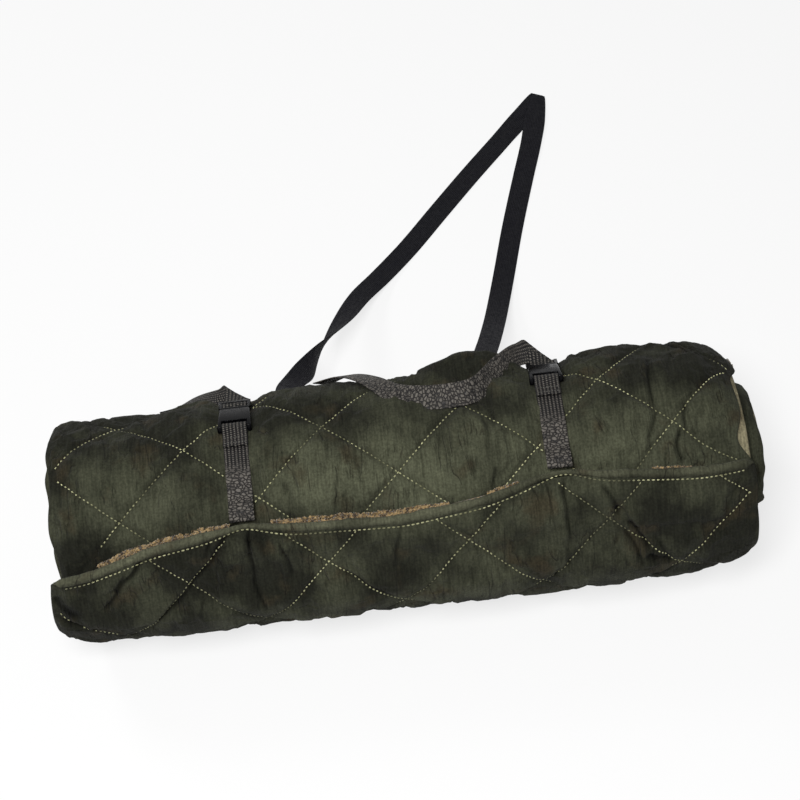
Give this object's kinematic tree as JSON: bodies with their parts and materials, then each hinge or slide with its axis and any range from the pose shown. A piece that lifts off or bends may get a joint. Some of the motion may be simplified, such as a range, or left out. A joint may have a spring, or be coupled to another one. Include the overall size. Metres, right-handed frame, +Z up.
{
  "type": "hunting sitting bag",
  "caption": "Quilted, pile-lined sitting sack for hunters, rolled up around its foot and held by webbing straps with side-release buckles, with a loose shoulder strap behind it.",
  "frame": {"origin": "on the ground under the middle of the roll", "axes": "+X along the roll towards its zipped end, +Y away from the side where the flap's hem lies, towards the shoulder strap, +Z up"},
  "size_m": [0.72, 0.7209, 0.2227],
  "materials": {
    "olive_shell": "matte",
    "brown_pile": "matte",
    "olive_facing": "matte",
    "grey_webbing": "matte",
    "black_webbing": "matte",
    "black_plastic": "satin",
    "zip_coil": "satin",
    "zip_metal": "satin"
  },
  "bodies": {
    "rolled_sack": {"back_panel_hem": "olive_facing", "back_panel_pile": "brown_pile", "back_panel_quilt": "olive_shell", "buckle_plug_left": "black_plastic", "buckle_plug_right": "black_plastic", "carry_foot_left": "black_webbing", "carry_foot_right": "black_webbing", "cinch_webbing_left": "grey_webbing", "cinch_webbing_right": "grey_webbing", "foot_seam": "olive_facing", "front_panel_hem": "olive_facing", "front_panel_pile": "brown_pile", "front_panel_quilt": "olive_shell", "left_side_seam": "olive_facing", "right_side_seam": "olive_facing", "tab_webbing_left": "grey_webbing", "tab_webbing_right": "grey_webbing", "zip_coil_back": "zip_coil", "zip_coil_front": "zip_coil", "zip_slider": "zip_metal", "zip_tape_back": "olive_facing", "zip_tape_front": "olive_facing"},
    "socket_left": {"buckle_socket_left": "black_plastic", "tab_loop_left": "grey_webbing"},
    "socket_right": {"buckle_socket_right": "black_plastic", "tab_loop_right": "grey_webbing"},
    "prong_left_a": {"buckle_prong_left_a": "black_plastic"},
    "prong_left_b": {"buckle_prong_left_b": "black_plastic"},
    "prong_right_a": {"buckle_prong_right_a": "black_plastic"},
    "prong_right_b": {"buckle_prong_right_b": "black_plastic"},
    "zip_pull": {"zip_pull": "zip_metal"},
    "shoulder_strap": {"carry_strap": "black_webbing"}
  },
  "joints": [
    {"name": "buckle_release_left", "type": "slide", "parent": "rolled_sack", "child": "socket_left", "axis": [0, -0.891, 0.454], "range_m": [0, 0.025]},
    {"name": "prong_squeeze_left_a", "type": "hinge", "parent": "rolled_sack", "child": "prong_left_a", "pos_m": [-0.1668, 0.0566, 0.20281], "axis": [0, 0.454, 0.891], "range_deg": [0, 6], "stiffness_Nm_per_rad": 0.2},
    {"name": "prong_squeeze_left_b", "type": "hinge", "parent": "rolled_sack", "child": "prong_left_b", "pos_m": [-0.1492, 0.0566, 0.20281], "axis": [0, -0.454, -0.891], "range_deg": [0, 6], "stiffness_Nm_per_rad": 0.2},
    {"name": "buckle_release_right", "type": "slide", "parent": "rolled_sack", "child": "socket_right", "axis": [0, -0.7986, 0.6018], "range_m": [0, 0.025]},
    {"name": "prong_squeeze_right_a", "type": "hinge", "parent": "rolled_sack", "child": "prong_right_a", "pos_m": [0.1492, 0.0719, 0.19228], "axis": [0, 0.6018, 0.7986], "range_deg": [0, 6], "stiffness_Nm_per_rad": 0.2},
    {"name": "prong_squeeze_right_b", "type": "hinge", "parent": "rolled_sack", "child": "prong_right_b", "pos_m": [0.1668, 0.0719, 0.19228], "axis": [0, -0.6018, -0.7986], "range_deg": [0, 6], "stiffness_Nm_per_rad": 0.2},
    {"name": "zip_pull_swing", "type": "hinge", "parent": "rolled_sack", "child": "zip_pull", "pos_m": [0.3511, 0.06046, 0.17297], "axis": [0, -0.6708, -0.7416], "range_deg": [0, 150]},
    {"name": "shoulder_strap_lift", "type": "hinge", "parent": "rolled_sack", "child": "shoulder_strap", "pos_m": [0, 0.10459, 0.15268], "axis": [1, 0, 0], "range_deg": [0, 110]}
  ]
}
